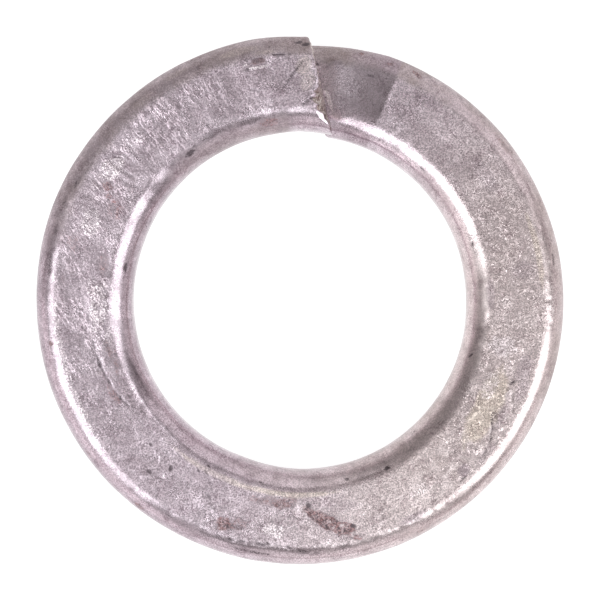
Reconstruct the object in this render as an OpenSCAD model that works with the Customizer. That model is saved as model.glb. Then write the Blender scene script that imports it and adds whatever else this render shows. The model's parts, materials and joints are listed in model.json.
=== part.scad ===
// Split spring lock washer for an M24 bolt: one turn of flat-sided steel bar, hot-dip zinc coated.
// Units are millimetres. Z is the axis of the bore and the washer lies on z = 0 with its low end.
// The two ends meet near +Y. Seen from above, the ring climbs clockwise from the low end to the raised end.

/* [Ring] */
// Diameter of the bore between the inner walls
bore_d = 24.9; // [14:0.1:56]
// Width of the bar from the inner wall to the outer wall
ring_width = 7.05; // [5:0.05:14]
// Thickness of the bar from the lower face to the upper face
thickness = 5; // [3.8:0.1:10]

/* [Edges] */
// Rounding of the two outer edges of the bar
outer_edge_r = 1.55; // [0.3:0.05:1.75]
// Rounding of the two inner edges of the bar
inner_edge_r = 1.6; // [0.3:0.05:1.75]

/* [Split] */
// Clear height between the top of the low end and the underside of the raised end
end_gap = 0.3; // [0.1:0.05:6]
// How far the raised end reaches over the low end, along the ring; below zero leaves an open slot
end_lap = 0.55; // [-4:0.05:3]
// Angle from +Y to the middle of the raised end's face, clockwise seen from above
split_angle = 5.5; // [0:0.5:30]
// Turn of the two end faces away from the line to the centre, seen from above
cut_skew = 19; // [0:1:30]
// Lean of the two end faces away from upright, with the top edge set back on the raised end
cut_lean = 5; // [0:1:12]

/* [Smoothness] */
// Flat steps that make up the turn of the ring
turn_steps = 108; // [72:4:132]
// Flat steps in the rounding of each edge
edge_steps = 4; // [2:1:5]

/* [Hidden] */

wall_facets = 180;
bore_r = bore_d / 2;
outer_r = bore_r + ring_width;
mid_r = bore_r + ring_width / 2;
// height gained in one full turn
pitch = thickness + end_gap;
// angle covered by the lap at the middle of the bar
lap_angle = end_lap / mid_r * 180 / PI;
// angle from the low end's face to the raised end's face
ring_span = 360 + lap_angle;
// each rounding stops this far above level, then runs on straight past the wall, which trims it
edge_stop = 20;
wall_lip = 0.02 * thickness;
wall_top = pitch * 2 + thickness;

// Height gained after a turn by the angle a.
function rise(a) = pitch * a / 360;

// Points on an arc of radius rad round [cr, cz], from angle a0 to a1.
function edge_arc(cr, cz, rad, a0, a1) =
    [for (k = [0 : edge_steps])
        let (a = a0 + (a1 - a0) * k / edge_steps)
            [cr + rad * cos(a), cz + rad * sin(a)]];

// Height of the trimmed-off corner that stands past a wall whose edges have radius rad.
function lip_z(rad) = thickness / 2 - rad + rad * sin(edge_stop)
    - (wall_lip + rad * (1 - cos(edge_stop))) / tan(edge_stop);

// The bar's section as [radius, height] pairs, anticlockwise, with height 0 at half thickness.
bar_section = concat(
    [[outer_r + wall_lip, -lip_z(outer_edge_r)], [outer_r + wall_lip, lip_z(outer_edge_r)]],
    edge_arc(outer_r - outer_edge_r, thickness / 2 - outer_edge_r, outer_edge_r, edge_stop, 90),
    edge_arc(bore_r + inner_edge_r, thickness / 2 - inner_edge_r, inner_edge_r, 90, 180 - edge_stop),
    [[bore_r - wall_lip, lip_z(inner_edge_r)], [bore_r - wall_lip, -lip_z(inner_edge_r)]],
    edge_arc(bore_r + inner_edge_r, inner_edge_r - thickness / 2, inner_edge_r, 180 + edge_stop, 270),
    edge_arc(outer_r - outer_edge_r, outer_edge_r - thickness / 2, outer_edge_r, 270, 360 - edge_stop)
);

// Angle at which a section point meets the flat end face, counted from the face's own middle.
// The face is turned by cut_skew and leans by cut_lean; the height it is met at depends on the
// angle again, so the sum is repeated until it stands still.
function face_angle(p, a = 0, turns = 4) =
    turns == 0 ? a :
    let (k = tan(cut_skew) * mid_r - tan(cut_lean) * (p[1] + rise(a)))
        face_angle(p, asin(k * cos(cut_skew) / p[0]) - cut_skew, turns - 1);

section_angles = [for (p = bar_section) face_angle(p)];
// lowest point of the low end, brought down to z = 0
low_z = min([for (j = [0 : len(bar_section) - 1]) bar_section[j][1] + rise(section_angles[j])]);

// The bar wound into one turn, before its inner and outer walls are trimmed to true cylinders.
module wound_bar() {
    n = len(bar_section);
    m = turn_steps;
    first_angle = split_angle - lap_angle;
    points = [for (i = [0 : m]) for (j = [0 : n - 1])
        let (
            p = bar_section[j],
            turned = section_angles[j] + ring_span * i / m,
            c = first_angle + turned
        )
        [p[0] * sin(c), p[0] * cos(c), p[1] + rise(turned) - low_z]];
    skin = [for (i = [0 : m - 1]) for (j = [0 : n - 1])
        let (a = i * n + j, b = i * n + (j + 1) % n)
            each [[a, b, b + n], [a, b + n, a + n]]];
    low_face = [for (j = [1 : n - 2]) [0, j + 1, j]];
    raised_face = [for (j = [1 : n - 2]) [m * n, m * n + j, m * n + j + 1]];
    polyhedron(points = points, faces = concat(skin, low_face, raised_face), convexity = 6);
}

module outer_wall() {
    translate([0, 0, -1])
        cylinder(r = outer_r, h = wall_top, $fn = wall_facets);
}

module bore() {
    translate([0, 0, -2])
        cylinder(r = bore_r, h = wall_top + 2, $fn = wall_facets);
}

module spring_washer() {
    color([0.67, 0.65, 0.67])
        difference() {
            intersection() {
                wound_bar();
                outer_wall();
            }
            bore();
        }
}

spring_washer();
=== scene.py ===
"""Spring lock washer in hot-dip zinc: its wound ring and a plain studio, laid out as an add-on."""
import json
import math

import bpy
import numpy as np
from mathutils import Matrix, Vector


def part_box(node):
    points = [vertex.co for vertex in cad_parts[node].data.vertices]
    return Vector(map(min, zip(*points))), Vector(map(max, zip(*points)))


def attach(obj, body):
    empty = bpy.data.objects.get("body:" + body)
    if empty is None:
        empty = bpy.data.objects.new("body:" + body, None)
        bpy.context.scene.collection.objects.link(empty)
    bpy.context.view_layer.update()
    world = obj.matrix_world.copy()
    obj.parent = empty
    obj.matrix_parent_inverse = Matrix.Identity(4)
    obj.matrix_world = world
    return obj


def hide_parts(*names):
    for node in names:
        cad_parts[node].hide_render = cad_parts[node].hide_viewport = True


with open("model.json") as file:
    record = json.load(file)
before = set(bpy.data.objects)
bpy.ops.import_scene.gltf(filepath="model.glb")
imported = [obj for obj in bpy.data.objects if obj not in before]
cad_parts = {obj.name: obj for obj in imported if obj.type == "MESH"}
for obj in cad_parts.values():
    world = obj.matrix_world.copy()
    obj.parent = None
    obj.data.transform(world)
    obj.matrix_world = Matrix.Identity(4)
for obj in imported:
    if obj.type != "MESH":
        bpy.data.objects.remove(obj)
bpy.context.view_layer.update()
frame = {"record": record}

bl_info = {
    "name": "Spring Lock Washer",
    "version": (1, 0, 0),
    "blender": (4, 5, 0),
    "location": "3D View > Sidebar > Washer",
    "description": "Builds a zinc-coated split lock washer and a plain studio round it",
    "category": "Add Mesh",
}

NODE = "spring_washer"

# Sizes taken from the frame, in millimetres.
LOW, HIGH = (np.array(corner, float) * 1000 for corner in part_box(NODE))
OUTER_R = float(HIGH[0] - LOW[0]) / 2
BORE_R = float(frame["record"]["mounts"][0]["dims"]["r_mm"])
TOTAL_H = float(HIGH[2] - LOW[2])
MID_R = (BORE_R + OUTER_R) / 2

# Where the shear broke deepest into the raised end, as a radius, and where the pressed pad on the low
# end stops in a step, as an angle.
SHEAR_R = 14.7
PAD_STEP = 23.4

# Tints laid over the finish's own colours: painted shade on the pressed pad, which sits darker because its
# tilt catches less light, and the broken end's own dark crystals with painted glints on them.
PAD_SHADE_TINT = (0.050, 0.056, 0.046, 1.0)
CRYSTAL_DARK = (0.36, 0.255, 0.225, 1.0)
PAINTED_GLINT_TINT = (1.0, 0.90, 0.84, 1.0)
WHITE = (1.0, 1.0, 1.0, 1.0)

# Marks in the zinc. Angles run clockwise from +Y in degrees, the rest is in millimetres.
# Each mark: (angle, radius, half length along the ring, half width across it, turn, strength)
RUST_MARKS = (
    (172.6, 16.4, 2.3, 0.5, -35, 0.95),
    (168.6, 17.05, 0.9, 0.42, -25, 1.0),
    (198.6, 17.4, 0.62, 0.55, 0, 1.0),
    (196.0, 17.2, 0.9, 0.45, 10, 0.45),
    (185.2, 15.0, 0.6, 0.34, 8, 0.8),
    (187.5, 14.9, 2.0, 0.4, 5, 0.45),
    (280.5, 14.7, 1.0, 0.35, 0, 0.5),
    (284.0, 17.2, 0.9, 0.5, 20, 0.38),
    (275.0, 17.5, 0.35, 0.2, 0, 0.45),
    (300.5, 16.4, 0.35, 0.55, 10, 0.62),
    (298.5, 16.0, 0.3, 0.3, 0, 0.55),
    (296.0, 15.2, 0.9, 0.7, 10, 0.42),
    (305.0, 15.0, 0.8, 0.4, 20, 0.36),
    (260.0, 18.6, 0.22, 0.18, 0, 0.95),
    (218.0, 19.2, 0.45, 0.2, 0, 0.55),
    (234.0, 19.2, 0.4, 0.18, 0, 0.5),
    (350.5, 13.2, 0.8, 0.3, 0, 0.62),
    (14.0, 19.1, 0.2, 0.14, 0, 0.75),
    (21.0, 18.9, 0.3, 0.12, 30, 0.7),
    (27.6, 19.0, 0.45, 0.2, -20, 0.75),
    (52.0, 19.0, 0.9, 0.18, 0, 0.4),
    (150.0, 19.1, 1.3, 0.16, 0, 0.4),
    (243.0, 15.4, 1.0, 0.26, 5, 0.55),
    (255.5, 14.6, 1.0, 0.24, 8, 0.6),
    (250.0, 14.4, 1.6, 0.14, -12, 0.5),
    (350.0, 17.76, 0.62, 0.26, 0, 0.75),
)
PIT_MARKS = (
    (358.4, 16.65, 1.35, 0.075, 53, 0.95),
    (362.2, 14.6, 0.5, 0.07, 45, 1.0),
    (208.4, 14.5, 0.34, 0.1, -30, 0.5),
    (206.2, 15.0, 0.26, 0.15, 30, 0.55),
    (207.0, 15.6, 0.3, 0.1, 55, 0.48),
    (204.6, 16.0, 0.34, 0.14, -35, 0.52),
    (203.6, 16.6, 0.24, 0.1, 40, 0.45),
    (211.0, 15.8, 0.3, 0.1, 10, 0.4),
    (17.4, 17.6, 0.3, 0.16, 0, 0.6),
    (43.0, 13.3, 0.22, 0.08, 0, 0.85),
    (38.0, 13.05, 0.4, 0.06, 0, 0.6),
    (72.0, 13.4, 0.22, 0.08, 0, 0.75),
    (108.0, 13.2, 0.26, 0.09, -25, 0.85),
    (111.0, 16.8, 0.3, 0.07, -35, 0.7),
    (137.2, 17.75, 0.3, 0.06, 10, 0.75),
    (138.6, 17.8, 0.45, 0.06, 25, 0.6),
    (152.7, 13.8, 0.26, 0.12, 0, 0.9),
    (166.6, 17.0, 0.24, 0.16, -20, 0.75),
    (177.6, 15.05, 0.22, 0.22, 0, 0.8),
    (217.6, 15.6, 0.15, 0.26, 20, 0.85),
    (244.0, 13.2, 1.3, 0.12, 0, 0.55),
    (248.0, 13.35, 0.9, 0.1, 0, 0.55),
    (280.6, 13.1, 0.45, 0.14, 0, 0.9),
    (290.0, 16.7, 0.2, 0.08, 0, 0.6),
    (323.0, 13.46, 0.45, 0.17, 0, 0.95),
    (325.5, 13.75, 0.2, 0.08, 20, 0.7),
    (359.7, 19.02, 0.34, 0.12, 15, 1.0),
    (361.3, 18.84, 0.3, 0.16, 10, 1.0),
    (302.0, 18.25, 0.8, 0.16, 0, 0.55),
    (298.0, 18.45, 0.6, 0.2, 0, 0.55),
    (293.0, 18.75, 0.5, 0.14, 0, 0.5),
    (285.5, 18.6, 0.8, 0.1, 5, 0.6),
    (191.0, 18.8, 1.7, 0.15, 0, 0.55),
    (81.0, 18.9, 0.5, 0.12, 0, 0.6),
    (210.8, 14.6, 0.14, 0.12, 0, 0.8),
    (221.2, 16.8, 0.26, 0.15, 0, 0.85),
    (225.9, 15.3, 0.22, 0.12, 0, 0.75),
    (4.2, 17.9, 0.1, 0.12, 0, 0.9),
    (4.1, 17.45, 0.09, 0.09, 0, 0.8),
    (192.2, 13.7, 0.16, 0.1, 0, 0.8),
    (209.0, 13.95, 0.16, 0.1, 0, 0.8),
    (165.5, 13.5, 0.24, 0.1, 0, 0.7),
    (354.2, 18.05, 0.25, 0.05, 0, 1.0),
    (355.7, 18.08, 0.28, 0.05, 0, 1.0),
    (357.4, 18.1, 0.18, 0.05, 0, 0.9),
    (347.0, 17.3, 0.18, 0.18, 0, 0.6),
    (350.0, 17.8, 0.62, 0.28, 0, 0.52),
    (264.0, 14.6, 0.6, 0.08, 40, 0.6),
    (259.0, 14.9, 0.8, 0.09, 25, 0.6),
    (195.5, 17.3, 0.7, 0.2, 0, 0.45),
)
TONE_MARKS = (
    (172.0, 15.1, 2.4, 0.6, -15, 0.35),
    (195.0, 15.2, 3.2, 0.8, 0, 0.28),
    (206.0, 14.7, 1.7, 0.7, 0, 0.45),
    (112.0, 17.6, 1.2, 0.4, 0, 0.45),
    (120.5, 17.0, 1.2, 0.45, 0, 0.35),
    (129.0, 17.7, 1.0, 0.35, 0, 0.35),
    (152.5, 18.0, 1.2, 0.3, 0, 0.55),
    (136.0, 17.3, 0.55, 0.45, 0, 0.75),
    (297.0, 17.2, 1.0, 0.55, 0, 0.5),
    (240.5, 14.4, 1.6, 0.4, 0, 0.8),
    (208.0, 14.3, 0.9, 0.4, 0, 0.55),
    (246.0, 15.5, 1.6, 0.6, 20, 0.35),
    (314.0, 15.6, 1.5, 0.6, 10, 0.55),
    (336.0, 15.2, 1.5, 0.5, 0, 0.4),
    (347.0, 16.8, 1.9, 1.1, 0, 0.62),
    (354.0, 16.0, 1.4, 1.1, 0, 0.35),
    (296.5, 14.6, 0.8, 0.4, 0, 0.5),
    (88.0, 14.1, 1.4, 0.3, 0, 0.45),
    (82.5, 16.7, 0.7, 0.9, 0, 0.4),
    (107.0, 17.2, 1.1, 0.6, 0, 0.45),
    (56.0, 16.5, 1.6, 0.6, 0, 0.35),
    (185.2, 15.0, 0.8, 0.45, 8, 0.6),
    (171.8, 16.6, 2.2, 0.75, -33, 0.45),
    (198.0, 17.4, 1.1, 0.6, 0, 0.45),
    (296.5, 15.6, 2.2, 1.1, 15, 0.4),
    (279.0, 15.6, 1.5, 0.9, 0, 0.35),
    (274.0, 17.0, 1.6, 0.8, 0, 0.35),
    (236.0, 16.6, 1.8, 0.9, 10, 0.35),
    (350.0, 17.76, 0.66, 0.28, 0, 1.0),
    (350.5, 13.2, 1.2, 0.38, 0, 0.6),
    (341.0, 13.3, 1.2, 0.4, 0, 0.4),
    (32.0, 17.5, 0.95, 0.55, 10, 0.7),
    (46.0, 15.6, 2.2, 1.0, 10, 0.15),
    (225.0, 17.0, 1.3, 0.5, 10, 0.7),
    (229.0, 16.2, 0.9, 0.35, 20, 0.5),
    (208.5, 15.2, 0.6, 0.75, 0, 0.5),
    (196.0, 17.0, 1.2, 0.45, 0, 0.55),
    (298.0, 14.9, 0.9, 0.6, 15, 0.6),
    (305.0, 15.2, 1.2, 0.35, -10, 0.4),
    (318.0, 15.85, 1.1, 0.75, 0, 0.65),
    (326.0, 16.6, 0.9, 0.45, 25, 0.4),
    (333.0, 15.6, 1.3, 0.55, -15, 0.4),
    (343.0, 16.2, 1.5, 0.65, 0, 0.4),
    (348.5, 16.9, 0.9, 0.25, 10, 0.5),
    (268.0, 17.5, 0.45, 0.25, 0, 0.5),
    (284.0, 16.4, 1.6, 0.55, 20, 0.45),
    (262.0, 15.9, 0.8, 0.35, 30, 0.35),
    (250.0, 14.3, 2.6, 0.35, 0, 0.6),
    (240.0, 13.4, 2.4, 0.4, 0, 0.45),
)
PALE_MARKS = (
    # the first mark is a painted highlight: the low end's rounded top edge beside the raised end
    (8.1, 15.25, 0.15, 1.05, 27, 1.0),
    (290.5, 16.4, 1.1, 0.75, 15, 0.6),
    (305.0, 16.9, 1.1, 0.9, 0, 0.55),
    (252.0, 18.0, 6.5, 0.3, 0, 0.5),
    (114.0, 15.3, 1.2, 0.6, 0, 0.5),
    (103.0, 15.2, 0.75, 1.15, 0, 0.6),
    (267.5, 14.9, 2.3, 0.75, -6, 0.52),
    (273.0, 15.2, 0.9, 0.6, 0, 0.45),
    (258.5, 14.5, 1.1, 0.35, -15, 0.45),
    (186.5, 17.0, 0.9, 0.55, 0, 0.55),
    (148.0, 16.3, 1.0, 0.6, 0, 0.35),
    (350.2, 17.33, 0.85, 0.11, 0, 0.85),
    (346.9, 17.75, 0.12, 0.3, 0, 0.5),
    (310.0, 17.0, 2.4, 0.8, 0, 0.3),
    (296.0, 17.2, 1.6, 0.7, 0, 0.3),
)
WARM_MARKS = (
    (346.0, 18.75, 1.6, 0.28, 0, 0.85),
    (352.0, 18.35, 0.8, 0.16, 0, 0.6),
    (331.0, 18.9, 1.2, 0.2, 0, 0.6),
    (322.0, 18.6, 1.0, 0.25, 0, 0.5),
    (120.0, 15.8, 3.4, 1.15, 4, 1.0),
    (117.0, 15.9, 2.0, 0.7, 8, 1.0),
    (78.0, 17.9, 3.3, 0.28, 0, 0.85),
    (74.0, 16.0, 3.2, 1.4, 0, 0.45),
    (98.0, 16.4, 2.2, 1.5, 0, 0.4),
    (135.0, 15.9, 2.2, 1.2, 0, 0.45),
    (183.0, 14.25, 4.0, 0.24, 0, 0.8),
    (203.0, 14.3, 4.6, 0.2, 0, 0.7),
    (361.0, 17.2, 0.55, 0.85, -20, 0.45),
    (362.0, 16.0, 0.5, 0.8, -20, 0.35),
)
# Grooves and hairlines: (angle, radius) at both ends, half width, depth; below zero is a ridge.
GROOVES = (
    ((119.0, 16.35), (122.5, 16.7), 0.09, 0.07),
    ((122.5, 16.7), (127.0, 17.4), 0.1, 0.08),
    ((127.0, 17.4), (130.0, 17.65), 0.09, 0.06),
    ((121.0, 15.6), (124.5, 16.5), 0.08, 0.05),
    ((126.0, 15.2), (128.0, 16.6), 0.08, 0.05),
    ((129.5, 15.6), (130.5, 16.8), 0.08, 0.05),
    ((133.0, 15.3), (134.5, 16.7), 0.08, 0.04),
    ((111.5, 16.7), (115.6, 17.3), 0.11, 0.07),
    ((115.6, 17.3), (119.0, 17.85), 0.1, 0.07),
    ((175.7, 18.6), (183.0, 18.15), 0.08, 0.08),
    ((187.0, 18.02), (196.5, 18.3), 0.08, 0.09),
    ((292.5, 13.4), (292.8, 14.1), 0.06, 0.05),
    ((259.0, 15.6), (252.0, 15.5), 0.1, 0.085),
    ((252.0, 15.5), (246.5, 15.3), 0.11, 0.09),
    ((246.5, 15.3), (241.5, 15.1), 0.1, 0.085),
    ((241.5, 15.1), (235.7, 14.7), 0.09, 0.075),
    ((236.0, 14.2), (242.0, 13.9), 0.08, 0.05),
    ((164.0, 17.5), (167.0, 17.0), 0.07, 0.05),
    ((169.0, 16.7), (174.0, 15.9), -0.08, 0.05),
    ((276.0, 15.6), (266.0, 15.65), 0.08, 0.05),
    ((266.0, 15.65), (258.0, 15.2), 0.08, 0.05),
    ((94.0, 16.1), (99.0, 16.6), 0.09, 0.05),
)

# The bar is not quite round: (angle, shift of its outer side, shift of its inner side)
DRIFT = (
    (0, -0.28, -0.06),
    (6, -0.22, -0.12),
    (20, -0.04, -0.1),
    (30, -0.16, -0.06),
    (60, -0.05, -0.04),
    (90, 0.02, -0.05),
    (120, 0.04, 0.08),
    (150, 0.0, 0.14),
    (180, -0.02, 0.08),
    (200, -0.06, -0.1),
    (225, -0.06, -0.14),
    (255, -0.15, -0.16),
    (270, -0.18, -0.16),
    (290, -0.12, -0.2),
    (320, -0.18, -0.12),
    (350, -0.17, -0.12),
)


# What the properties of one kind share.
COLOUR = {"size": 3, "min": 0.0, "max": 1.0, "subtype": "COLOR"}
LENGTH = {"min": 0.0, "unit": "LENGTH", "precision": 5}
POWER = {"min": 0.0, "subtype": "POWER"}


class WasherShape(bpy.types.PropertyGroup):
    """Sizes of the wound ring and the relief of its zinc coat."""

    thickness: bpy.props.FloatProperty(
        name="Thickness", description="Height of the bar from its lower to its upper face",
        default=0.005, min=0.001, unit="LENGTH", precision=4)
    end_gap: bpy.props.FloatProperty(
        name="End Gap", description="Clear height between the low end and the raised end",
        default=0.0003, **LENGTH)
    end_lap: bpy.props.FloatProperty(
        name="End Lap", description="How far the raised end reaches over the low end",
        default=0.00055, unit="LENGTH", precision=5)
    outer_edge: bpy.props.FloatProperty(
        name="Outer Rounding", description="Radius of the two outer edges of the bar",
        default=0.00155, min=0.0001, unit="LENGTH", precision=5)
    inner_edge: bpy.props.FloatProperty(
        name="Inner Rounding", description="Radius of the two inner edges of the bar",
        default=0.00182, min=0.0001, unit="LENGTH", precision=5)
    split_angle: bpy.props.FloatProperty(
        name="Split Angle", description="Clockwise turn of the raised end's face from +Y",
        default=math.radians(5.5), subtype="ANGLE")
    cut_skew: bpy.props.FloatProperty(
        name="Cut Skew", description="Turn of the end faces from the line to the centre",
        default=math.radians(19.0), subtype="ANGLE")
    cut_lean: bpy.props.FloatProperty(
        name="Cut Lean", description="Lean of the end faces away from upright",
        default=math.radians(5.0), subtype="ANGLE")
    end_round: bpy.props.FloatProperty(
        name="End Rounding", description="Rounding that the zinc leaves round each end face",
        default=0.00016, min=0.00005, unit="LENGTH", precision=5)
    swell: bpy.props.FloatProperty(
        name="Zinc Swell", description="Height of the slow rise and fall of the coat",
        default=0.00006, **LENGTH)
    relief: bpy.props.FloatProperty(
        name="Zinc Relief", description="Height of wrinkles, lumps and dross in the coat",
        default=1.0, min=0.0, max=3.0, subtype="FACTOR")
    seed: bpy.props.IntProperty(
        name="Seed", description="Start number of the scatter in the coat", default=11, min=0)


class ZincFinish(bpy.types.PropertyGroup):
    """Colours and gloss of the zinc coat."""

    zinc: bpy.props.FloatVectorProperty(
        name="Zinc", description="Colour of the clean coat",
        default=(0.645, 0.546, 0.604), **COLOUR)
    shade: bpy.props.FloatVectorProperty(
        name="Dull Zinc", description="Colour of the dull patches",
        default=(0.395, 0.314, 0.352), **COLOUR)
    pale: bpy.props.FloatVectorProperty(
        name="Dross", description="Colour of the whitish dross",
        default=(0.820, 0.725, 0.752), **COLOUR)
    warm: bpy.props.FloatVectorProperty(
        name="Warm Tint", description="Colour of the yellowish patches",
        default=(0.690, 0.585, 0.512), **COLOUR)
    rust: bpy.props.FloatVectorProperty(
        name="Stain", description="Colour of the brown stains",
        default=(0.255, 0.125, 0.125), **COLOUR)
    pit: bpy.props.FloatVectorProperty(
        name="Pit", description="Colour at the bottom of pits and grooves",
        default=(0.085, 0.065, 0.075), **COLOUR)
    dull: bpy.props.FloatVectorProperty(
        name="Dull Side", description="Colour of the weathered outer side",
        default=(0.300, 0.240, 0.222), **COLOUR)
    gloss: bpy.props.FloatProperty(
        name="Roughness", description="Roughness of the clean coat",
        default=0.25, min=0.0, max=1.0, subtype="FACTOR")
    grain: bpy.props.FloatProperty(
        name="Grain Depth", description="Depth of the frosty grain",
        default=0.000012, min=0.0, unit="LENGTH", precision=6)


class StudioLight(bpy.types.PropertyGroup):
    """Floor, soft boxes and camera of the studio."""

    floor_size: bpy.props.FloatProperty(
        name="Floor", description="Side of the pale floor", default=3.0, min=0.1, unit="LENGTH")
    floor_glow: bpy.props.FloatProperty(
        name="Floor Glow", description="Light that the pale floor gives off", default=0.88, min=0.0)
    surround: bpy.props.FloatVectorProperty(
        name="Surround", description="Colour of the dim room round the floor",
        default=(1.000, 0.930, 0.940), **COLOUR)
    horizon: bpy.props.FloatProperty(
        name="Horizon", description="Light of the room at the horizon", default=0.68, min=0.0)
    ceiling: bpy.props.FloatProperty(
        name="Ceiling", description="Light of the room overhead", default=0.30, min=0.0)
    dark_side: bpy.props.FloatProperty(
        name="Dark Side", description="Clockwise turn from +Y to the room's darker side",
        default=math.radians(333), subtype="ANGLE")
    overhead: bpy.props.FloatProperty(
        name="Overhead", description="Power of the panel above", default=0.24, **POWER)
    key: bpy.props.FloatProperty(
        name="Left Box", description="Power of the soft box on the left", default=1.00, **POWER)
    fill: bpy.props.FloatProperty(
        name="Right Box", description="Power of the soft box on the right", default=0.96, **POWER)
    back: bpy.props.FloatProperty(
        name="Back Box", description="Power of the dim soft box behind the split", default=0.60, **POWER)
    front: bpy.props.FloatProperty(
        name="Front Box", description="Power of the dim soft box in front", default=0.31, **POWER)
    low_left: bpy.props.FloatProperty(
        name="Low Left Box", description="Power of the low soft box on the left", default=0.62, **POWER)
    low_right: bpy.props.FloatProperty(
        name="Low Right Box", description="Power of the low soft box on the right", default=0.14, **POWER)
    camera_height: bpy.props.FloatProperty(
        name="Camera Height", description="Height of the camera above the ring", default=0.250,
        min=0.05, unit="LENGTH")
    view_width: bpy.props.FloatProperty(
        name="View Width", description="Width of floor that the camera takes in at the ring",
        default=0.0444, min=0.01, unit="LENGTH")


# ---------------------------------------------------------------- surface

def lattice_noise(points, size, seed):
    """Noise from -1 to 1. Each corner of a grid of cubes of side size has a scattered value, made by
    mixing the bits of its whole-number place, and a point takes the eight round it, each weighted by
    the product of w or 1 - w for its three steps, with w = 3 t^2 - 2 t^3 of the way t between corners."""
    place = points / size
    cell = np.floor(place).astype(np.int64)
    t = place - cell
    w = t * t * (3 - 2 * t)
    total = np.zeros(len(points))
    for corner in range(8):
        step = np.array([corner & 1, corner >> 1 & 1, corner >> 2 & 1])
        key = cell + step
        mixed = (key[:, 0] * 73856093) ^ (key[:, 1] * 19349663) ^ (key[:, 2] * 83492791)
        mixed = (mixed ^ (seed * 2654435761)) & 0xFFFFFFFF
        mixed = ((mixed ^ (mixed >> 16)) * 73244475) & 0xFFFFFFFF
        mixed = ((mixed ^ (mixed >> 16)) * 73244475) & 0xFFFFFFFF
        value = (mixed ^ (mixed >> 16)) / 0xFFFFFFFF
        total += value * np.prod(np.where(step, w, 1 - w), axis=1)
    return 2 * total - 1


def soft_step(low, high, x):
    """0 below low, 1 above high and 3 t^2 - 2 t^3 of the way t between."""
    t = np.clip((x - low) / (high - low), 0, 1)
    return t * t * (3 - 2 * t)


def between(rise, fall, x):
    """A soft step up over the pair rise times a soft step down over the pair fall."""
    return soft_step(*rise, x) * (1 - soft_step(*fall, x))


def bar_outline(shape):
    """The bar's section, anticlockwise: four straight sides and four quarter circles.
    Returns radius, height above half thickness, and the outward normal's two parts, at stations
    that lie closest together on the upper side, where most of the relief is."""
    h = shape.thickness * 500
    ro, ri = shape.outer_edge * 1000, shape.inner_edge * 1000
    corners = (
        (OUTER_R - ro, h - ro, ro, 0),
        (BORE_R + ri, h - ri, ri, 90),
        (BORE_R + ri, ri - h, ri, 180),
        (OUTER_R - ro, ro - h, ro, 270),
    )
    steps = ((20, 37), (20, 7), (6, 9), (6, 9))
    radius, height, across, up = [], [], [], []
    for k, (cr, cz, rad, start) in enumerate(corners):
        turn = np.radians(start + 90 * np.linspace(0, 1, steps[k][0] + 1))
        arc = np.stack([cr + rad * np.cos(turn), cz + rad * np.sin(turn), np.cos(turn), np.sin(turn)])
        nr, nz, nrad, nstart = corners[(k + 1) % 4]
        a = np.radians(nstart)
        after = np.array([nr + nrad * math.cos(a), nz + nrad * math.sin(a), math.cos(a), math.sin(a)])
        way = np.linspace(0, 1, steps[k][1] + 1)[1:-1]
        side = arc[:, -1:] + (after[:, None] - arc[:, -1:]) * way
        for store, row in zip((radius, height, across, up), np.hstack([arc, side])):
            store.append(row)
    return tuple(np.concatenate(part) for part in (radius, height, across, up))


def face_angle(shape, radius, height):
    """Angle in degrees at which a section point meets the flat end face, from the face's middle.
    A plane turned by the skew s and leaning by l holds r sin(a) + tan(s) r cos(a) = tan(s) m - tan(l) z,
    so a = asin(k cos(s) / r) - s, repeated because z grows with a."""
    pitch = (shape.thickness + shape.end_gap) * 1000
    skew = shape.cut_skew
    angle = np.zeros(np.broadcast(radius, height).shape)
    for _ in range(4):
        k = math.tan(skew) * MID_R - math.tan(shape.cut_lean) * (height + pitch * angle / 360)
        angle = np.degrees(np.arcsin(k * math.cos(skew) / radius) - skew)
    return angle


def end_set_back(shape, radius, height, half):
    """Shift of the raised end's face in millimetres. It takes back the plane's lean, so that the
    lower edge stays on the middle line. Towards the top the face steps back where the shear broke it,
    by (0.08 + 0.85 exp(-((r - s) / w)^2)) t, made jagged by two sine waves over r, with t rising from 0
    at a quarter of the height to 1 at the top."""
    width = np.where(radius > SHEAR_R, 0.85, 1.25)
    broken = 0.08 + 0.85 * np.exp(-((radius - SHEAR_R) / width) ** 2)
    broken = broken * (1 + 0.20 * np.sin(9.5 * radius) + 0.13 * np.sin(23 * radius + 1))
    t = np.clip((height / half + 0.45) / 1.45, 0, 1) ** 1.5
    return math.tan(shape.cut_lean) * height - broken * t


def mark_field(marks, clock, radius, ragged):
    """Cover from 0 to 1: each mark is an ellipse turned on the ring, whose distance, 1 at its rim,
    is shifted by ragged noise before it is cut off softly. The strongest mark wins."""
    cover = np.zeros(len(clock))
    for angle, r0, along, across, turn, strength in marks:
        near = np.nonzero(np.abs(clock - angle) < 12 + 60 * along / r0)[0]
        x = np.radians(clock[near] - angle) * r0
        y = radius[near] - r0
        c, s = math.cos(math.radians(turn)), math.sin(math.radians(turn))
        d = np.hypot((x * c + y * s) / along, (y * c - x * s) / across)
        value = strength * (1 - soft_step(0.70, 1.20, d + 0.42 * ragged[near]))
        cover[near] = np.maximum(cover[near], value)
    return cover


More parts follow.
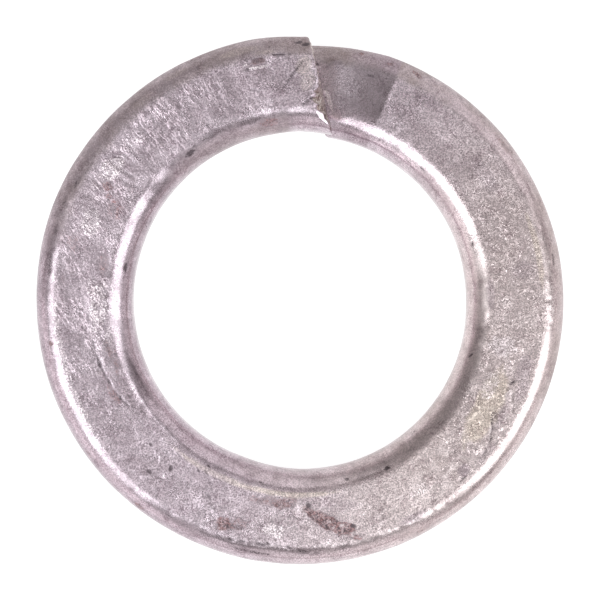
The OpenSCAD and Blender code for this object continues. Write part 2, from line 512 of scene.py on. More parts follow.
def groove_field(clock, radius, wander):
    """Depth field of grooves and ridges: depth times exp(-(d / w)^2) with d the distance from a
    straight run between its two ends, shifted by a wandering noise."""
    depth = np.zeros(len(clock))
    for (a0, r0), (a1, r1), width, high in GROOVES:
        mid = (a0 + a1) / 2
        near = np.nonzero(np.abs(clock - mid) < abs(a1 - a0) / 2 + 4)[0]
        x = np.radians(clock[near] - mid) * (r0 + r1) / 2
        y = radius[near]
        x0, x1 = (math.radians(a - mid) * (r0 + r1) / 2 for a in (a0, a1))
        lx, ly = x1 - x0, r1 - r0
        t = np.clip(((x - x0) * lx + (y - r0) * ly) / (lx * lx + ly * ly), 0, 1)
        d = np.abs(np.hypot(x - x0 - t * lx, y - r0 - t * ly) + 0.16 * wander[near])
        value = high * np.exp(-(d / abs(width)) ** 2)
        depth[near] += value if width > 0 else -value
    return depth


def patch(clock, radius, angle, r0, along, across, edge=0.35):
    """A soft-edged oval on the ring, 1 inside: 1 - step of the oval's own distance."""
    d = np.hypot(np.radians(clock - angle) * r0 / along, (radius - r0) / across)
    return 1 - soft_step(1 - edge, 1 + edge, d)


def coat_relief(shape, points, clock, radius, top):
    """Height of the zinc above the bar in millimetres, and the covers that colour it.
    A slow swell and an orange-peel are on every side; wrinkles are ridges 1 - |noise| squeezed across
    the ring; lumps and dross are the positive part of noise; grooves and pits go down."""
    seed = shape.seed
    k = shape.relief

    def noise(size, number):
        return lattice_noise(points, size, seed + number)

    def spot(*oval):
        return patch(clock, radius, *oval)

    peel = noise(0.9, 1)
    fine = noise(0.42, 2)
    tiny = noise(0.24, 3)
    slow = noise(3.8, 4)
    swell = shape.swell * 1000
    height = swell * slow + 0.5 * swell * noise(1.9, 5)
    height += k * (0.010 * peel + 0.0045 * fine + 0.001 * tiny)

    ragged = 0.6 * noise(0.5, 6) + 0.5 * tiny
    rust = mark_field(RUST_MARKS, clock, radius, ragged) * top
    dark = mark_field(PIT_MARKS, clock, radius, 0.6 * ragged) * top
    tone = mark_field(TONE_MARKS, clock, radius, 0.7 * ragged) * top
    tone = 1 - (1 - tone) * (1 - 0.52 * spot(277, 16.2, 22, 6, 0.5))
    # painted shade: the pressed pad is darkened through the tone cover too, most towards its step, where
    # its tilt turns furthest from the light
    tone = np.maximum(tone, between((8, 21), (PAD_STEP - 0.3, PAD_STEP + 0.2), clock) * top)
    pale = mark_field(PALE_MARKS, clock, radius, 0.7 * ragged) * top
    warm = mark_field(WARM_MARKS, clock, radius, 0.5 * ragged) * top
    warm = np.maximum(warm, 0.48 * spot(112, 16.2, 19, 8, 0.5))

    along = np.radians(clock) * MID_R
    skewed = np.stack([along + 0.5 * (radius - MID_R), 0.45 * (radius - 0.3 * along), points[:, 2]], 1)
    ridge = 1 - np.abs(lattice_noise(skewed, 0.62, seed + 7))
    creased = np.maximum(spot(128, 16.1, 4.8, 1.7), 0.7 * spot(110, 16, 2.5, 1.4))
    height += k * top * creased * (0.028 * ridge ** 3 + 0.010 * fine)

    bumps = spot(76, 16.0, 3.6, 1.5)
    height += k * top * bumps * 0.030 * np.maximum(0, noise(0.36, 8)) ** 1.3
    dross = spot(267, 14.85, 2.7, 0.85)
    crinkle = np.abs(noise(0.45, 9))
    height += k * top * dross * (0.030 + 0.055 * crinkle)
    lump = spot(103, 15.2, 0.8, 1.2, 0.25)
    height += k * top * lump * (0.022 + 0.030 * crinkle)
    height += k * top * 0.012 * spot(350, 17.85, 0.62, 0.26, 0.4)

    striped = np.stack([along, 0.12 * radius, 0.12 * points[:, 2]], 1)
    stripes = lattice_noise(striped, 0.20, seed + 10)
    rayed = np.maximum(spot(301, 16.7, 3.4, 1.8), 0.8 * spot(328, 17.4, 2.2, 0.8))
    height += k * top * rayed * 0.015 * stripes
    rim = between((280, 288), (336, 346), clock) * soft_step(17.9, 18.4, radius)
    height += k * top * rim * 0.045 * np.maximum(0, noise(0.62, 12))
    rough = spot(215, 16.2, 9.0, 1.8) + spot(172, 16.4, 4.5, 1.8)
    rough += spot(84, 18.3, 5.0, 0.6) + 0.7 * spot(158, 18.2, 6.0, 0.5)
    height += k * top * np.minimum(rough, 1) * 0.035 * np.maximum(0, noise(0.33, 13))

    groove = groove_field(clock, radius, 0.7 * fine + 0.5 * tiny) * top
    height -= 0.30 * k * groove
    height -= k * 0.05 * np.maximum(0, dark - 0.55) * top
    height -= k * 0.03 * rust * crinkle
    dark = np.clip(dark + 7.5 * np.maximum(0, groove), 0, 1)
    pale = np.clip(pale + 5.0 * np.maximum(0, -groove), 0, 1)
    dotted = creased + 0.8 * bumps + 0.45 * spot(98, 16, 12, 5, 0.6)
    covers = {
        "rust": rust, "dark": dark, "tone": tone, "pale": pale, "warm": warm,
        "bumpy": np.clip(dotted, 0, 1) * top,
        "streaky": spot(292, 16.2, 15, 6, 0.5) * top,
    }
    return height, covers


def low_end_press(clock, radius, top_side):
    """Downward set of the pressed pad on the low end: 0 at its step, steepest there, and level
    towards the end, so z = -0.15 (1 - x^2) with x the way from the end to the step. A fine ridge
    of 0.02 stands on the step, on the flat part of the face."""
    x = np.clip((clock - 5) / (PAD_STEP - 5), 0, 1)
    down = -0.15 * (1 - x * x) * (clock < PAD_STEP)
    flat = between((14.3, 14.9), (17.6, 18.0), radius)
    ridge = 0.020 * np.exp(-((clock - PAD_STEP - 0.15) / 0.32) ** 2) * flat
    return (down + ridge) * top_side


def ring_rows(shape):
    """Distances in degrees from the ends at which rows of the ring stand: even steps of 0.44 degrees,
    with quarter-circle spacing inside each end's rounding."""
    reach = math.degrees(shape.end_round * 1000 / MID_R)
    span = 360 + math.degrees(shape.end_lap * 1000 / MID_R)
    into = reach * (1 - np.cos(np.linspace(0, math.pi / 2, 8)))
    middle = np.linspace(reach, span - reach, 830)[1:-1]
    return span, np.concatenate([into, middle, span - into[::-1]])


def ring_grid(shape):
    """The whole ring as one grid of rows along the turn and stations round the section, with a
    cap of shrinking rows on each end face, and a pole in the middle of each.
    A point at turn a of radius r stands at (r sin(a), r cos(a), z + pitch a / 360)."""
    radius, height, across, up = bar_outline(shape)
    span, rows = ring_rows(shape)
    half = shape.thickness * 500
    pitch = (shape.thickness + shape.end_gap) * 1000
    lap = span - 360
    rounding = shape.end_round * 1000
    cap_steps = np.array([0.93, 0.86, 0.78, 0.70, 0.61, 0.52, 0.43, 0.34, 0.25, 0.16, 0.08])

    def place(rad, hgt, turn, share):
        """Rows of points: the turn plus the end plane's angle, with the raised end's set-back."""
        back = np.degrees(end_set_back(shape, rad, hgt, half) / rad) * soft_step(0.972, 1, share)
        return turn + face_angle(shape, rad, hgt) + back

    # side rows, drawn in near the ends by e - sqrt(e^2 - (e - d)^2) to round the end's rim
    from_end = np.radians(np.minimum(rows, span - rows)) * MID_R
    dip = np.clip(rounding - from_end, 0, rounding)
    inset = (rounding - np.sqrt(np.maximum(rounding ** 2 - dip ** 2, 0)))[:, None]
    share = (rows / span)[:, None]
    side_r = radius[None, :] - across * inset
    side_h = height[None, :] - up * inset
    side_a = place(side_r, side_h, rows[:, None], share)

    def cap(share_value, turn):
        """Rows that shrink from the end's rim to its middle on the end face."""
        f = cap_steps[:, None]
        rim_r = radius - across * rounding
        rim_h = height - up * rounding
        cap_r = MID_R + f * (rim_r - MID_R)
        cap_h = f * rim_h
        return cap_r, cap_h, place(cap_r, cap_h, turn, np.full_like(cap_r, share_value))

    low = cap(0.0, 0.0)
    top = cap(1.0, span)
    grid_r = np.vstack([low[0][::-1], side_r, top[0]])
    grid_h = np.vstack([low[1][::-1], side_h, top[1]])
    grid_a = np.vstack([low[2][::-1], side_a, top[2]])
    face = np.concatenate([np.ones(len(cap_steps)), np.zeros(len(rows)), np.full(len(cap_steps), 2.0)])
    first = math.degrees(shape.split_angle) - lap
    return {
        "radius": grid_r, "height": grid_h, "turn": grid_a, "clock": grid_a + first,
        "across": np.broadcast_to(across, grid_r.shape), "up": np.broadcast_to(up, grid_r.shape),
        "face": np.broadcast_to(face[:, None], grid_r.shape), "pitch": pitch,
    }


def to_space(radius, clock, height):
    """Cylinder to box coordinates: x = r sin(a), y = r cos(a), with a clockwise from +Y."""
    a = np.radians(clock)
    return np.stack([radius * np.sin(a), radius * np.cos(a), height], -1)


def ring_surface(shape):
    """Every point of the ring in millimetres and the covers on it.
    The bar's own surface is moved along its section normal by the coat's height; end faces are moved
    along the turn by a broken, crystal-like noise."""
    g = ring_grid(shape)
    flat = {key: np.array(value).reshape(-1) for key, value in g.items() if np.ndim(value)}
    radius, clock, up, across = flat["radius"], flat["clock"], flat["up"], flat["across"]
    on_side = flat["face"] == 0
    base_z = flat["height"] + g["pitch"] * flat["turn"] / 360
    base_z -= base_z.min()
    points = to_space(radius, clock, base_z)
    top = soft_step(-0.05, 0.25, up) * on_side
    relief, covers = coat_relief(shape, points, clock, radius, top)
    relief = np.where(on_side, relief, 0)

    # the coat thins to about a third at the widest walls so that the ring keeps its size
    keep = np.where(np.abs(across) > 0.9, 0.35, 1.0)
    relief = relief * keep
    new_r = radius + across * relief
    new_z = base_z + up * relief
    new_z += low_end_press(clock, radius, soft_step(0.0, 0.4, up) * on_side)

    # the low end's outer side is drawn in by the shear, and the ring wavers a little all round
    u = np.clip((radius - BORE_R) / (OUTER_R - BORE_R), 0, 1)
    new_r -= 0.27 * u ** 1.5 * (1 - soft_step(8, 34, clock))
    drift = np.array(DRIFT)
    outside = np.interp(clock, drift[:, 0], drift[:, 1], period=360)
    inside = np.interp(clock, drift[:, 0], drift[:, 2], period=360)
    new_r += inside + (outside - inside) * u

    # broken end faces
    broken = 0.7 * lattice_noise(points, 0.7, shape.seed + 20)
    broken += 0.5 * lattice_noise(points, 0.3, shape.seed + 21)
    swing = np.degrees(0.14 * shape.relief * broken / radius) * (~on_side)
    points = to_space(new_r, clock + swing, new_z)

    # a slanting chip takes off the raised end's inner top corner: nothing stands above its plane
    top_z = base_z.max()
    chip = top_z - (0.36 * (points[:, 0] - 1.05) - 0.13 * (points[:, 1] - 14.0))
    near_tip = (clock > 355) & (base_z > top_z - 2.2)
    points[:, 2] = np.where(near_tip, np.minimum(points[:, 2], chip + 0.03 * broken), points[:, 2])
    points[:, 2] -= points[:, 2].min()
    covers = {name: value * on_side for name, value in covers.items()}
    covers["rust"] += 0.25 * (broken > 0.3) * ~on_side
    covers["dark"] += np.clip(0.12 - 0.5 * broken, 0, 0.6) * ~on_side
    covers["broken"] = (~on_side).astype(float)
    # painted shade on the pressed pad, deepest towards its step where the pad tilts most; the same mask
    # also calms the grain and the bump there
    covers["pressed"] = between((4, 6), (PAD_STEP - 0.2, PAD_STEP + 0.2), clock) * top
    covers["pressed"] *= (0.62 + 0.38 * soft_step(8, 19, clock)) * soft_step(13.9, 15.2, radius)
    covers["pressed"] *= 1 - soft_step(18.0, 18.6, radius)
    covers["smooth"] = (1 - soft_step(0.980, 0.9995, up)) * on_side

    # the weathered outer side runs round the back; the inner wall is darker and duller, more faintly, over
    # two stretches
    around = np.clip(soft_step(276, 296, clock) + 1 - soft_step(22, 52, clock), 0, 1)
    outer_side = soft_step(17.75, 18.35, radius + 0.25 * broken) * around
    right_rim = soft_step(18.75, 19.1, radius + 0.2 * broken) * between((22, 52), (105, 125), clock)
    inner_side = 0.35 * between((100, 130), (195, 215), clock)
    inner_side += 0.6 * between((300, 335), (355, 358), clock)
    inner_side *= 1 - soft_step(13.0, 13.9, radius + 0.3 * broken)
    covers["dull"] = (0.90 * outer_side + 0.6 * right_rim + inner_side) * on_side
    wound = np.stack([np.radians(clock) * MID_R, radius - 0.7 * flat["height"], np.zeros(len(clock))], 1)
    return points, g["radius"].shape, covers, wound


def closed_faces(rows, stations):
    """Quads between neighbouring rows and stations, closed round the section, and a fan of triangles
    from each pole to the first and last row, all wound so that they face outwards."""
    i = np.arange(rows - 1)[:, None] * stations
    j = np.arange(stations)[None, :]
    k = (j + 1) % stations
    quads = np.stack([i + j, i + k, i + k + stations, i + j + stations], -1).reshape(-1, 4)
    ring = np.arange(stations)
    after = (ring + 1) % stations
    low_pole = rows * stations
    last = (rows - 1) * stations
    low = np.stack([np.full(stations, low_pole), after, ring], -1)
    high = np.stack([np.full(stations, low_pole + 1), last + ring, last + after], -1)
    return quads, np.vstack([low, high])


def write_mesh(name, points, quads, triangles):
    """A mesh from whole arrays of points in metres, quads and triangles, shaded smooth."""
    mesh = bpy.data.meshes.new(name)
    mesh.vertices.add(len(points))
    mesh.vertices.foreach_set("co", points.astype(np.float32).reshape(-1))
    loops = np.concatenate([quads.reshape(-1), triangles.reshape(-1)]).astype(np.int32)
    counts = np.concatenate([np.full(len(quads), 4), np.full(len(triangles), 3)])
    mesh.loops.add(len(loops))
    mesh.loops.foreach_set("vertex_index", loops)
    mesh.polygons.add(len(counts))
    starts = np.concatenate([[0], np.cumsum(counts)[:-1]]).astype(np.int32)
    mesh.polygons.foreach_set("loop_start", starts)
    mesh.polygons.foreach_set("use_smooth", np.ones(len(counts), bool))
    mesh.update(calc_edges=True)
    mesh.validate()
    return mesh


# ---------------------------------------------------------------- finish

def new_group(name, sockets):
    """An empty shader node group with named inputs and outputs."""
    group = bpy.data.node_groups.new(name, "ShaderNodeTree")
    for label, way, kind, value in sockets:
        socket = group.interface.new_socket(name=label, in_out=way, socket_type=kind)
        if value is not None:
            socket.default_value = value
    return group, group.nodes.new("NodeGroupInput"), group.nodes.new("NodeGroupOutput")


class Board:
    """Adds nodes to a tree and links them, so that a finish reads as a list of steps."""

    def __init__(self, tree):
        self.tree = tree

    def link(self, source, target):
        self.tree.links.new(source, target)

    def put(self, socket, value):
        """Links value if it is a socket, and sets it if it is a number or a colour."""
        if isinstance(value, bpy.types.NodeSocket):
            self.link(value, socket)
        elif value is not None:
            socket.default_value = value

    def fill(self, node, numbers):
        for label, number in numbers.items():
            node.inputs[label].default_value = number

    def math(self, operation, a, b=None, clamp=False):
        node = self.tree.nodes.new("ShaderNodeMath")
        node.operation = operation
        node.use_clamp = clamp
        self.put(node.inputs[0], a)
        self.put(node.inputs[1], b)
        return node.outputs[0]

    def times(self, a, b, clamp=False):
        return self.math("MULTIPLY", a, b, clamp)

    def plus(self, a, b, clamp=False):
        return self.math("ADD", a, b, clamp)

    def minus(self, a, b, clamp=False):
        return self.math("SUBTRACT", a, b, clamp)

    def ramp(self, value, low, high, to_low=0.0, to_high=1.0):
        node = self.tree.nodes.new("ShaderNodeMapRange")
        node.interpolation_type = "SMOOTHSTEP"
        self.put(node.inputs["Value"], value)
        self.fill(node, {"From Min": low, "From Max": high, "To Min": to_low, "To Max": to_high})
        return node.outputs["Result"]

    def noise(self, place, scale, detail=2.0, roughness=0.5, distortion=0.0):
        node = self.tree.nodes.new("ShaderNodeTexNoise")
        self.put(node.inputs["Vector"], place)
        self.fill(node, {
            "Scale": scale, "Detail": detail, "Roughness": roughness, "Distortion": distortion})
        return node.outputs["Fac"]

    def total(self, parts):
        """The sum of pairs of a socket and its weight."""
        result = 0.0
        for value, weight in parts:
            result = self.plus(result, self.times(value, weight))
        return result

    def vector_map(self, place, size=(1.0, 1.0, 1.0), turn=0.0):
        node = self.tree.nodes.new("ShaderNodeMapping")
        self.put(node.inputs["Vector"], place)
        node.inputs["Scale"].default_value = size
        node.inputs["Rotation"].default_value = (0.0, 0.0, turn)
        return node.outputs["Vector"]

    def mix(self, amount, a, b, kind="MIX"):
        node = self.tree.nodes.new("ShaderNodeMix")
        node.data_type = "RGBA"
        node.blend_type = kind
        self.put(node.inputs[0], amount)
        self.put(node.inputs[6], a)
        self.put(node.inputs[7], b)
        return node.outputs[2]

    def cover(self, name, output="Fac"):
        node = self.tree.nodes.new("ShaderNodeAttribute")
        node.attribute_type = "GEOMETRY"
        node.attribute_name = name
        return node.outputs[output]


def frosty_grain():
    """Node group: the frosty coat. Wiry ridges are the narrow band where a stirred noise is near its
    middle, streaks the same in a noise drawn out along the way the zinc ran off, and dimples the same
    in a strongly stirred noise. Light is how bright the grain is, with painted highlights along the
    streaks and on the dimples and painted shade in a dark ring round each dimple, and Patch the
    broad tone."""
    group, start, end = new_group("Frosty Grain", (
        ("Place", "INPUT", "NodeSocketVector", None),
        ("Streaks", "INPUT", "NodeSocketFloat", 0.0),
        ("Dimples", "INPUT", "NodeSocketFloat", 0.0),
        ("Height", "OUTPUT", "NodeSocketFloat", None),
        ("Light", "OUTPUT", "NodeSocketFloat", None),
        ("Patch", "OUTPUT", "NodeSocketFloat", None),
    ))
    b = Board(group)
    place = start.outputs["Place"]
    turned = b.vector_map(place, turn=math.radians(-123))
    drawn = b.vector_map(turned, size=(0.30, 1.0, 1.0))

    def off_middle(value):
        return b.math("ABSOLUTE", b.minus(value, 0.5))

    def near_middle(value, width):
        """1 on the thin bent lines where the noise is near its middle, 0 away from them."""
        return b.ramp(off_middle(value), 0.0, width, 1.0, 0.0)

    here = b.ramp(b.noise(place, 0.8, 2.0), 0.42, 0.60)
    wiry = b.times(near_middle(b.noise(place, 1.9, 3.0, 0.6, 1.2), 0.085), here)
    streak = near_middle(b.noise(drawn, 2.7, 2.0, 0.6, 0.5), 0.060)
    streak = b.times(streak, b.ramp(b.noise(drawn, 1.1, 2.0), 0.40, 0.62))
    streaks = start.outputs["Streaks"]
    run = b.ramp(b.noise(drawn, 6.5, 1.0, 0.6), 0.36, 0.64)
    round_grain = b.ramp(b.noise(place, 4.6, 1.5, 0.7, 0.6), 0.36, 0.64)
    run = b.plus(round_grain, b.times(b.minus(run, round_grain), streaks))
    speck = b.ramp(b.noise(place, 9.5, 2.0, 0.80), 0.36, 0.64)
    middle = b.ramp(b.noise(place, 2.3, 3.0, 0.65, 0.4), 0.34, 0.66)
    worm = off_middle(b.noise(place, 1.75, 1.0, 0.5, 2.2))
    dimple = b.ramp(worm, 0.015, 0.085, 1.0, 0.0)
    rim = b.times(b.ramp(worm, 0.070, 0.105), b.ramp(worm, 0.110, 0.160, 1.0, 0.0))
    some = b.ramp(b.noise(place, 1.0, 2.0), 0.43, 0.56)
    some = b.times(some, start.outputs["Dimples"])
    dimple = b.times(dimple, some)

    height = b.total(((wiry, 0.38), (speck, 0.15), (middle, 0.17)))
    height = b.plus(height, b.times(streak, b.times(streaks, 0.85)))
    height = b.plus(height, b.times(run, b.times(streaks, 0.16)))
    height = b.times(height, b.minus(1.0, b.times(start.outputs["Dimples"], 0.60)))
    height = b.plus(height, b.times(dimple, 2.6))
    b.put(end.inputs["Height"], height)
    fine = b.total(((speck, 0.70), (run, 0.14), (middle, 0.08), (wiry, 0.10)))
    # painted highlights along the streaks and on the dimple tops, and painted shade in a dark ring round
    # each dimple
    light = b.plus(fine, b.times(b.minus(streak, 0.35), b.times(streaks, 0.52)))
    light = b.minus(light, b.times(b.times(rim, some), 0.42))
    b.put(end.inputs["Light"], b.plus(light, b.times(dimple, 0.34)))
    broad = b.ramp(b.noise(place, 0.34, 4.0, 0.62, 0.5), 0.42, 0.60)
    small = b.ramp(b.noise(place, 1.0, 4.0, 0.68, 0.6), 0.42, 0.60)
    b.put(end.inputs["Patch"], b.total(((broad, 0.55), (small, 0.45))))
    return group


def dark_specks():
    """Node group: scattered dark specks and thin dark threads, as covers from 0 to 1."""
    group, start, end = new_group("Dark Specks", (
        ("Place", "INPUT", "NodeSocketVector", None),
        ("Specks", "OUTPUT", "NodeSocketFloat", None),
        ("Threads", "OUTPUT", "NodeSocketFloat", None),
    ))
    b = Board(group)
    place = start.outputs["Place"]
    where = b.ramp(b.noise(place, 0.8, 2.0), 0.47, 0.66)
    dot = b.ramp(b.noise(place, 4.6, 1.5, 0.6), 0.64, 0.74)
    b.put(end.inputs["Specks"], b.times(dot, b.plus(b.times(where, 0.75), 0.25)))
    line = b.math("ABSOLUTE", b.minus(b.noise(place, 1.5, 4.0, 0.62, 0.8), 0.5))
    thread = b.ramp(line, 0.0, 0.050, 1.0, 0.0)
    b.put(end.inputs["Threads"], b.times(thread, b.ramp(b.noise(place, 0.9, 2.0), 0.46, 0.60)))
    return group


def ragged_edge():
    """Node group: cuts a soft cover into a crisp one whose edge follows the grain."""
    group, start, end = new_group("Ragged Edge", (
        ("Cover", "INPUT", "NodeSocketFloat", 0.0),
        ("Grain", "INPUT", "NodeSocketFloat", 0.5),
        ("Cover", "OUTPUT", "NodeSocketFloat", None),
    ))
    b = Board(group)
    shift = b.times(b.minus(start.outputs["Grain"], 0.5), 0.75)
    inside = b.times(start.outputs["Cover"], 4.0, True)
    cut = b.ramp(b.plus(start.outputs["Cover"], shift), 0.32, 0.68)
    b.put(end.inputs["Cover"], b.times(cut, inside))
    return group


def zinc_material(finish):
    """The zinc coat: clean metal with patches, then the warm, pale, dark and brown covers over it,
    cut ragged by the grain, with roughness and bump from the same grain."""
    material = bpy.data.materials.new("zinc_coat")
    material.use_nodes = True
    tree = material.node_tree
    tree.nodes.clear()
    b = Board(tree)
    output = tree.nodes.new("ShaderNodeOutputMaterial")
    shader = tree.nodes.new("ShaderNodeBsdfPrincipled")
    coordinate = tree.nodes.new("ShaderNodeTexCoord")
    place = b.vector_map(coordinate.outputs["Object"], size=(1000.0, 1000.0, 1000.0))
    cover = {k: b.cover(k) for k in (
        "rust", "dark", "tone", "pale", "warm", "bumpy", "streaky", "broken", "pressed", "smooth", "dull")}
    grain = tree.nodes.new("ShaderNodeGroup")
    grain.node_tree = frosty_grain()
    b.link(place, grain.inputs["Place"])
    b.link(cover["streaky"], grain.inputs["Streaks"])
    b.link(cover["bumpy"], grain.inputs["Dimples"])
    specks = tree.nodes.new("ShaderNodeGroup")
    specks.node_tree = dark_specks()
    b.link(place, specks.inputs["Place"])
    light, patchy, height = (grain.outputs[k] for k in ("Light", "Patch", "Height"))

    zinc, shade, pale, warm, rust, pit, dull = (
        (*getattr(finish, k), 1.0) for k in ("zinc", "shade", "pale", "warm", "rust", "pit", "dull"))
    edge = ragged_edge()

    def ragged(name):
        node = tree.nodes.new("ShaderNodeGroup")
        node.node_tree = edge
        b.link(cover[name], node.inputs["Cover"])
        b.link(light, node.inputs["Grain"])
        return node.outputs["Cover"]

    brown, soot, dross_and_sheen = ragged("rust"), ragged("dark"), ragged("pale")
    colour = b.mix(b.times(patchy, 0.48), zinc, shade)
    weathered = b.times(cover["dull"], b.plus(0.55, b.times(patchy, 0.3)))
    colour = b.mix(weathered, colour, dull)
    colour = b.mix(b.times(cover["warm"], b.ramp(cover["dull"], 0.0, 1.0, 0.84, 0.35)), colour, warm)
    colour = b.mix(b.times(cover["tone"], 0.85), colour, shade)
    # painted shade on the pressed pad
    colour = b.mix(b.times(cover["pressed"], 0.34), colour, PAD_SHADE_TINT)
    # pale dross, and the painted highlight on the low end's edge beside the raised end; it comes after the
    # pad's painted shade so the highlight stays bright
    colour = b.mix(b.times(dross_and_sheen, 0.70), colour, pale)
    # painted glints: bright specks scattered over the broken end faces, mixed into their own dark crystal
    # colour
    glint = b.ramp(b.noise(place, 4.2, 2.0, 0.6), 0.40, 0.66)
    crystal = b.mix(glint, CRYSTAL_DARK, PAINTED_GLINT_TINT)
    colour = b.mix(b.times(cover["broken"], 0.90), colour, crystal)
    # the grain's brightness, which carries painted highlights on streaks and dimples and painted shade
    # round the dimples, scales the colour
    frost = b.ramp(light, 0.12, 0.88, 0.58, 1.36)
    calm = b.total((
        (cover["pressed"], 0.45), (patchy, 0.10), (cover["smooth"], 0.38), (cover["bumpy"], 0.22)))
    frost = b.plus(frost, b.times(b.minus(1.0, frost), calm))
    drawn = b.vector_map(b.cover("wound", "Vector"), size=(0.60, 2.2, 1.0))
    drag = b.ramp(b.noise(drawn, 1.0, 3.0, 0.6), 0.36, 0.64, 0.90, 1.11)
    drag = b.plus(1.0, b.times(b.minus(drag, 1.0), cover["smooth"]))
    drag = b.mix(b.times(cover["dull"], 0.6), drag, WHITE)
    frost = b.times(frost, drag)
    bitten = b.ramp(b.noise(place, 3.0, 3.0, 0.7, 0.5), 0.40, 0.60, 0.45, 1.0)
    colour = b.mix(b.times(brown, b.times(bitten, 0.85)), colour, rust)
    colour = b.mix(1.0, colour, frost, "MULTIPLY")
    colour = b.mix(b.times(specks.outputs["Threads"], 0.50), colour, shade, "MULTIPLY")
    stirred = b.noise(place, 4.4, 2.0, 0.7, 0.8)
    colour = b.mix(b.times(brown, b.ramp(stirred, 0.50, 0.62, 0.0, 0.85)), colour, pit)
    # painted glints: pale specks inside the brown stains
    colour = b.mix(b.times(brown, b.ramp(stirred, 0.30, 0.41, 0.65, 0.0)), colour, pale)
    colour = b.mix(b.times(soot, 0.85), colour, pit)
    colour = b.mix(b.times(specks.outputs["Specks"], 0.70), colour, pit)
    b.put(shader.inputs["Base Color"], colour)

    matt = b.total((
        (patchy, 0.10), (brown, 0.25), (cover["warm"], 0.06), (dross_and_sheen, 0.06), (cover["dull"], 0.26),
        (cover["smooth"], -0.05)))
    b.put(shader.inputs["Roughness"], b.plus(matt, finish.gloss, True))
    b.put(shader.inputs["Metallic"], b.minus(1.0, b.total(((brown, 0.45), (cover["dull"], 0.40)))))

    bump = tree.nodes.new("ShaderNodeBump")
    bump.inputs["Strength"].default_value = 1.0
    bump.inputs["Distance"].default_value = finish.grain
    lively = b.plus(1.0, b.total(((cover["pressed"], -0.60), (cover["smooth"], -0.96))), True)
    lively = b.plus(lively, b.total(((cover["pale"], 0.9), (cover["broken"], 7.0))))
    b.put(bump.inputs["Height"], b.times(height, lively))
    b.link(bump.outputs["Normal"], shader.inputs["Normal"])
    b.link(shader.outputs["BSDF"], output.inputs["Surface"])
    return material


def plain_material(name, colour, glow):
    """A matt pale paint that gives off a little light of its own."""
    material = bpy.data.materials.new(name)
    material.use_nodes = True
    shader = material.node_tree.nodes["Principled BSDF"]
    shader.inputs["Base Color"].default_value = (*colour, 1.0)
    shader.inputs["Roughness"].default_value = 0.9
    shader.inputs["Emission Color"].default_value = WHITE
    shader.inputs["Emission Strength"].default_value = glow
    return material


# ---------------------------------------------------------------- operators

class LOCKWASHER_OT_ring(bpy.types.Operator):
    """Build the wound ring with its zinc coat"""

    bl_idname = "lock_washer.ring"
    bl_label = "Zinc Ring"

    def execute(self, context):
        shape = context.scene.washer_shape
        points, (rows, stations), covers, wound = ring_surface(shape)
        ends = np.stack([points[:stations].mean(0), points[-stations:].mean(0)])
        quads, triangles = closed_faces(rows, stations)
        mesh = write_mesh("zinc_ring", np.vstack([points, ends]) / 1000, quads, triangles)
        for name, values in covers.items():
            layer = mesh.attributes.new(name, "FLOAT", "POINT")
            layer.data.foreach_set("value", np.append(values, [values[0], values[-1]]).astype(np.float32))
        layer = mesh.attributes.new("wound", "FLOAT_VECTOR", "POINT")
        wound = np.vstack([wound, wound[:1], wound[-1:]])
        layer.data.foreach_set("vector", wound.astype(np.float32).ravel())
        ring = bpy.data.objects.new("zinc_ring", mesh)
        context.scene.collection.objects.link(ring)
        mesh.materials.append(zinc_material(context.scene.washer_finish))
        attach(ring, "root")
        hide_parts(NODE)
        return {"FINISHED"}


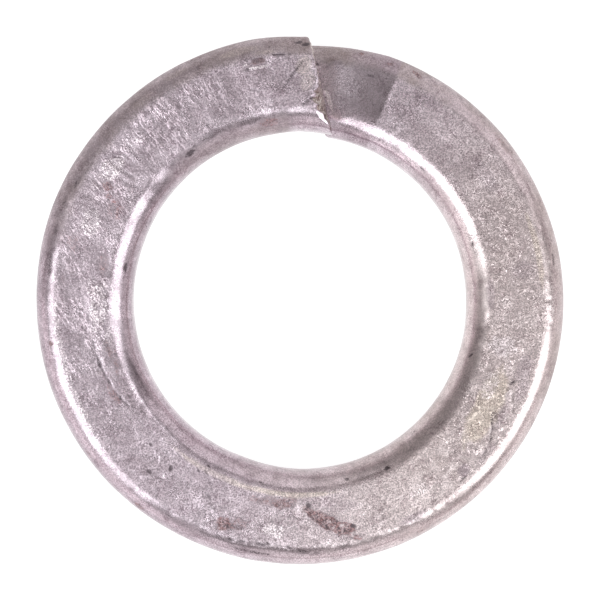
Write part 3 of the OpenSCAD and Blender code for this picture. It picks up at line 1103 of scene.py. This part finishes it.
class LOCKWASHER_OT_studio(bpy.types.Operator):
    """Build the pale floor, the soft boxes and the camera"""

    bl_idname = "lock_washer.studio"
    bl_label = "Studio"

    def panel_light(self, context, name, power, size, turn, tilt, distance, tint=WHITE[:3]):
        """A soft box at a distance, turned clockwise from +Y and tilted from upright.
        Its size is its width and its height."""
        data = bpy.data.lights.new(name, "AREA")
        data.shape = "RECTANGLE"
        data.size, data.size_y = size
        data.energy = power
        data.color = tint
        light = bpy.data.objects.new(name, data)
        a, t = math.radians(turn), math.radians(tilt)
        reach = distance * math.sin(t)
        light.location = (reach * math.sin(a), reach * math.cos(a), distance * math.cos(t))
        light.rotation_euler = (t, 0.0, math.pi - a)
        context.scene.collection.objects.link(light)

    def room(self, look):
        """A dim room whose light grows towards the horizon, with a darker side behind the ring."""
        world = bpy.data.worlds.new("room")
        world.use_nodes = True
        tree = world.node_tree
        b = Board(tree)
        way = tree.nodes.new("ShaderNodeSeparateXYZ")
        b.link(tree.nodes.new("ShaderNodeTexCoord").outputs["Generated"], way.inputs[0])
        strength = b.ramp(way.outputs["Z"], 0.02, 0.50, look.horizon, look.ceiling)
        a = look.dark_side
        toward = b.plus(b.times(way.outputs["X"], math.sin(a)),
                        b.times(way.outputs["Y"], math.cos(a)))
        strength = b.times(strength, b.ramp(toward, 0.25, 0.85, 1.0, 0.78))
        back = tree.nodes["Background"]
        back.inputs["Color"].default_value = (*look.surround, 1.0)
        b.put(back.inputs["Strength"], strength)
        return world

    def execute(self, context):
        scene = context.scene
        look = scene.washer_studio
        half = look.floor_size / 2
        corners = np.array([(-half, -half, 0), (half, -half, 0), (half, half, 0), (-half, half, 0)])
        corners[:, 2] = LOW[2] / 1000
        mesh = write_mesh("floor", corners, np.array([[0, 1, 2, 3]]), np.zeros((0, 3), int))
        floor = bpy.data.objects.new("floor", mesh)
        scene.collection.objects.link(floor)
        mesh.materials.append(plain_material("pale_floor", (0.25, 0.25, 0.25), look.floor_glow))

        cool = (0.93, 1.0, 0.99)
        near = 0.50
        for box in (
            ("overhead_panel", look.overhead, (0.50, 0.50), 45, 6, 0.90),
            ("left_box", look.key, (0.30, 0.36), 239, 32, near, cool),
            ("right_box", look.fill, (0.30, 0.38), 111, 37, near, cool),
            ("back_box", look.back, (0.54, 0.44), 28, 55, near),
            ("front_box", look.front, (0.50, 0.30), 170, 64, near),
            ("low_left_box", look.low_left, (0.60, 0.36), 237, 74, near),
            ("low_right_box", look.low_right, (0.40, 0.26), 100, 70, near),
        ):
            self.panel_light(context, *box)
        scene.world = self.room(look)

        data = bpy.data.cameras.new("camera")
        data.sensor_width = 36.0
        data.lens = 36.0 * look.camera_height / look.view_width
        data.clip_start = 0.01
        data.clip_end = 20.0
        camera = bpy.data.objects.new("camera", data)
        camera.location = (0.0, 0.0, TOTAL_H / 2000 + look.camera_height)
        scene.collection.objects.link(camera)
        scene.camera = camera
        scene.view_settings.view_transform = "Standard"
        return {"FINISHED"}


class LOCKWASHER_PT_panel(bpy.types.Panel):
    """Lists the washer's pieces and settings"""

    bl_label = "Spring Lock Washer"
    bl_idname = "LOCKWASHER_PT_panel"
    bl_space_type = "VIEW_3D"
    bl_region_type = "UI"
    bl_category = "Washer"

    def draw(self, context):
        layout = self.layout
        scene = context.scene
        for title, group in (("Shape", scene.washer_shape), ("Finish", scene.washer_finish),
                             ("Studio", scene.washer_studio)):
            box = layout.box()
            box.label(text=title)
            for name in group.__annotations__:
                box.prop(group, name)
        layout.operator(LOCKWASHER_OT_ring.bl_idname)
        layout.operator(LOCKWASHER_OT_studio.bl_idname)


CLASSES = (
    WasherShape, ZincFinish, StudioLight, LOCKWASHER_OT_ring, LOCKWASHER_OT_studio, LOCKWASHER_PT_panel)


def register():
    for cls in CLASSES:
        bpy.utils.register_class(cls)
    bpy.types.Scene.washer_shape = bpy.props.PointerProperty(type=WasherShape)
    bpy.types.Scene.washer_finish = bpy.props.PointerProperty(type=ZincFinish)
    bpy.types.Scene.washer_studio = bpy.props.PointerProperty(type=StudioLight)


def unregister():
    del bpy.types.Scene.washer_shape
    del bpy.types.Scene.washer_finish
    del bpy.types.Scene.washer_studio
    for cls in reversed(CLASSES):
        bpy.utils.unregister_class(cls)


def main():
    register()
    bpy.ops.lock_washer.ring()
    bpy.ops.lock_washer.studio()


if __name__ == "__main__":
    main()
